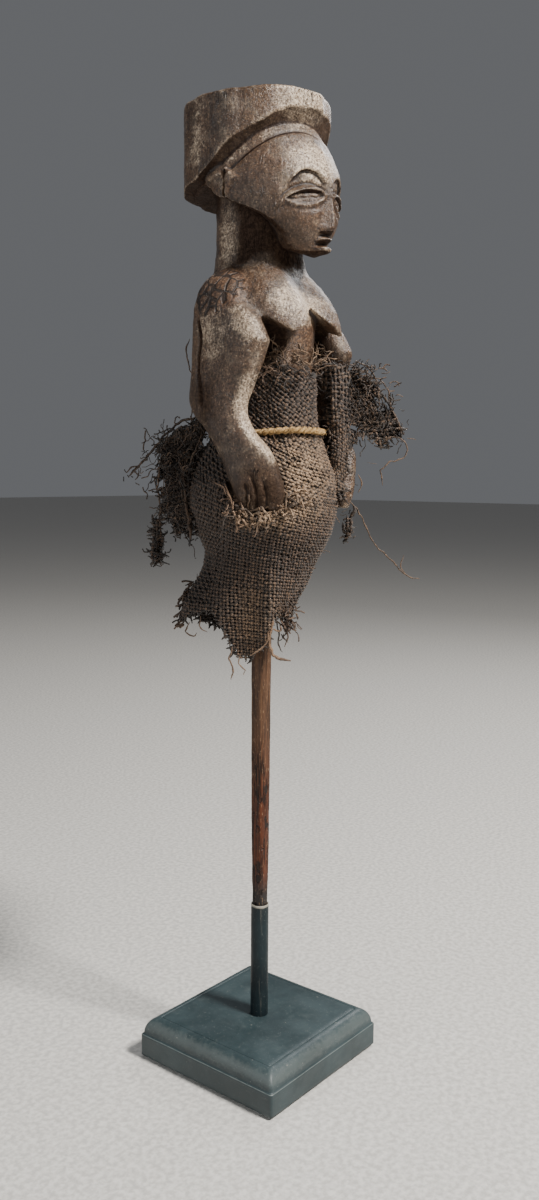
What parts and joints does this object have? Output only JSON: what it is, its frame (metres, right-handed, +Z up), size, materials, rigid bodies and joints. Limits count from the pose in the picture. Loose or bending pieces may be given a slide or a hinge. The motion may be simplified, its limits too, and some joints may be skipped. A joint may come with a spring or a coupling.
{
  "type": "fertility doll on display stand",
  "caption": "Carved wooden half-figure with a drum headdress, wrapped in torn burlap tied at the waist, on a stem that lifts out of a tube on a square plinth.",
  "frame": {"origin": "centre of the felt pad's underside, where the plinth rests", "axes": "+Z up along the stem; the figure and one plinth side face -Y, so its right arm is towards -X"},
  "size_m": [0.1152, 0.1119, 0.541],
  "materials": {
    "plinth_paint": "dark teal satin paint, rubbed pale along the moulded edge",
    "tube_paint": "dark teal satin paint, bare at the rim",
    "patina_wood": "hand-carved, dark crusty patina worn pale on the high spots",
    "stem_wood": "reddish brown, split and worm-eaten",
    "burlap": "coarse dark plain weave, frayed",
    "twine": "golden twisted two-ply twine",
    "plug_wood": "plain turned dowel",
    "steel": "zinc-plated",
    "felt": "dark self-adhesive felt"
  },
  "bodies": {
    "stand": {"plinth_block": "plinth_paint", "felt_pad": "felt", "mount_tube": "tube_paint", "tube_plug": "plug_wood", "mount_screw": "steel"},
    "doll": {"stem": "stem_wood", "figure": "patina_wood", "wrap_cloth": "burlap", "waist_cord": "twine", "right_rag": "burlap", "left_rag": "burlap"}
  },
  "joints": [
    {"name": "doll_lift", "type": "slide", "parent": "stand", "child": "doll", "axis": [0, 0, 1], "range_m": [0, 0.04]}
  ]
}
